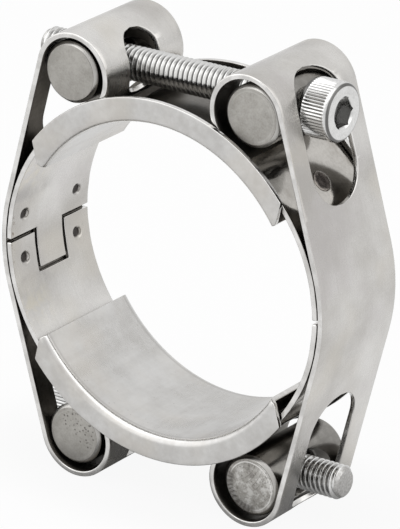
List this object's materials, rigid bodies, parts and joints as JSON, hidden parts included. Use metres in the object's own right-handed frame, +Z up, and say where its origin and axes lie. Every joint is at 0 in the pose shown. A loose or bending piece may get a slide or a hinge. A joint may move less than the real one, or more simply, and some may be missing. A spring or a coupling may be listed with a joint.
{
  "type": "two-bolt hose clamp",
  "caption": "Round steel hose clamp: folded bands with looped ends, drawn together by socket-head bolts and cross pins over channel-shaped saddles.",
  "frame": {"origin": "centre of the hose bore, midway along it", "axes": "+Y along the hose, away from the pictured side; +X along the bolts, towards the upper bolt's head; +Z up, from the lower bolt to the upper one"},
  "size_m": [0.0548, 0.02, 0.0664],
  "materials": {
    "band_steel": "satin",
    "saddle_steel": "satin",
    "bolt_steel": "bright",
    "pin_steel": "turned, matte"
  },
  "bodies": {
    "saddles": {"upper_saddle": "saddle_steel", "lower_saddle": "saddle_steel"},
    "left_half": {"left_band": "band_steel"},
    "upper_nut": {"upper_nut_pin": "pin_steel"},
    "upper_head": {"upper_head_pin": "pin_steel"},
    "upper_screw": {"upper_bolt": "bolt_steel"},
    "right_half": {"right_band": "band_steel"},
    "lower_nut": {"lower_nut_pin": "pin_steel"},
    "lower_head": {"lower_head_pin": "pin_steel"},
    "lower_screw": {"lower_bolt": "bolt_steel"}
  },
  "joints": [
    {"name": "left_band_spread", "type": "slide", "parent": "saddles", "child": "left_half", "axis": [-1, 0, 0], "range_m": [-0.00121, 0.00401]},
    {"name": "upper_nut_pin_swivel", "type": "hinge", "parent": "left_half", "child": "upper_nut", "pos_m": [-0.01531, 0, 0.0272], "axis": [0, 1, 0], "range_deg": [-0.5, 0.5]},
    {"name": "lower_head_pin_swivel", "type": "hinge", "parent": "left_half", "child": "lower_head", "pos_m": [-0.01531, 0, -0.0272], "axis": [0, 1, 0], "range_deg": [-0.51, 0.51]},
    {"name": "upper_head_pin_draw", "type": "slide", "parent": "upper_nut", "child": "upper_head", "axis": [1, 0, 0], "range_m": [-0.0024, 0.008]},
    {"name": "upper_bolt_turn", "type": "hinge", "parent": "upper_head", "child": "upper_screw", "pos_m": [0.01531, 0, 0.0272], "axis": [1, 0, 0], "range_deg": [-1081, 3601]},
    {"name": "right_band_swivel", "type": "hinge", "parent": "upper_head", "child": "right_half", "pos_m": [0.01531, 0, 0.0272], "axis": [0, 1, 0], "range_deg": [-0.51, 0.51]},
    {"name": "lower_nut_pin_swivel", "type": "hinge", "parent": "right_half", "child": "lower_nut", "pos_m": [0.01531, 0, -0.0272], "axis": [0, 1, 0], "range_deg": [-0.51, 0.51]},
    {"name": "lower_bolt_turn", "type": "hinge", "parent": "lower_head", "child": "lower_screw", "pos_m": [-0.01531, 0, -0.0272], "axis": [1, 0, 0], "range_deg": [-3601, 1081]}
  ],
  "couplings": [
    {"joint": "left_band_spread", "follows": "upper_head_pin_draw", "ratio": 0.5},
    {"joint": "upper_bolt_turn", "follows": "upper_head_pin_draw", "rad_per_m": 7854},
    {"joint": "lower_bolt_turn", "follows": "upper_head_pin_draw", "rad_per_m": -7854},
    {"joint": "lower_head_pin_swivel", "follows": "upper_nut_pin_swivel", "ratio": 1},
    {"joint": "right_band_swivel", "follows": "upper_nut_pin_swivel", "ratio": -1},
    {"joint": "lower_nut_pin_swivel", "follows": "upper_nut_pin_swivel", "ratio": 1}
  ]
}
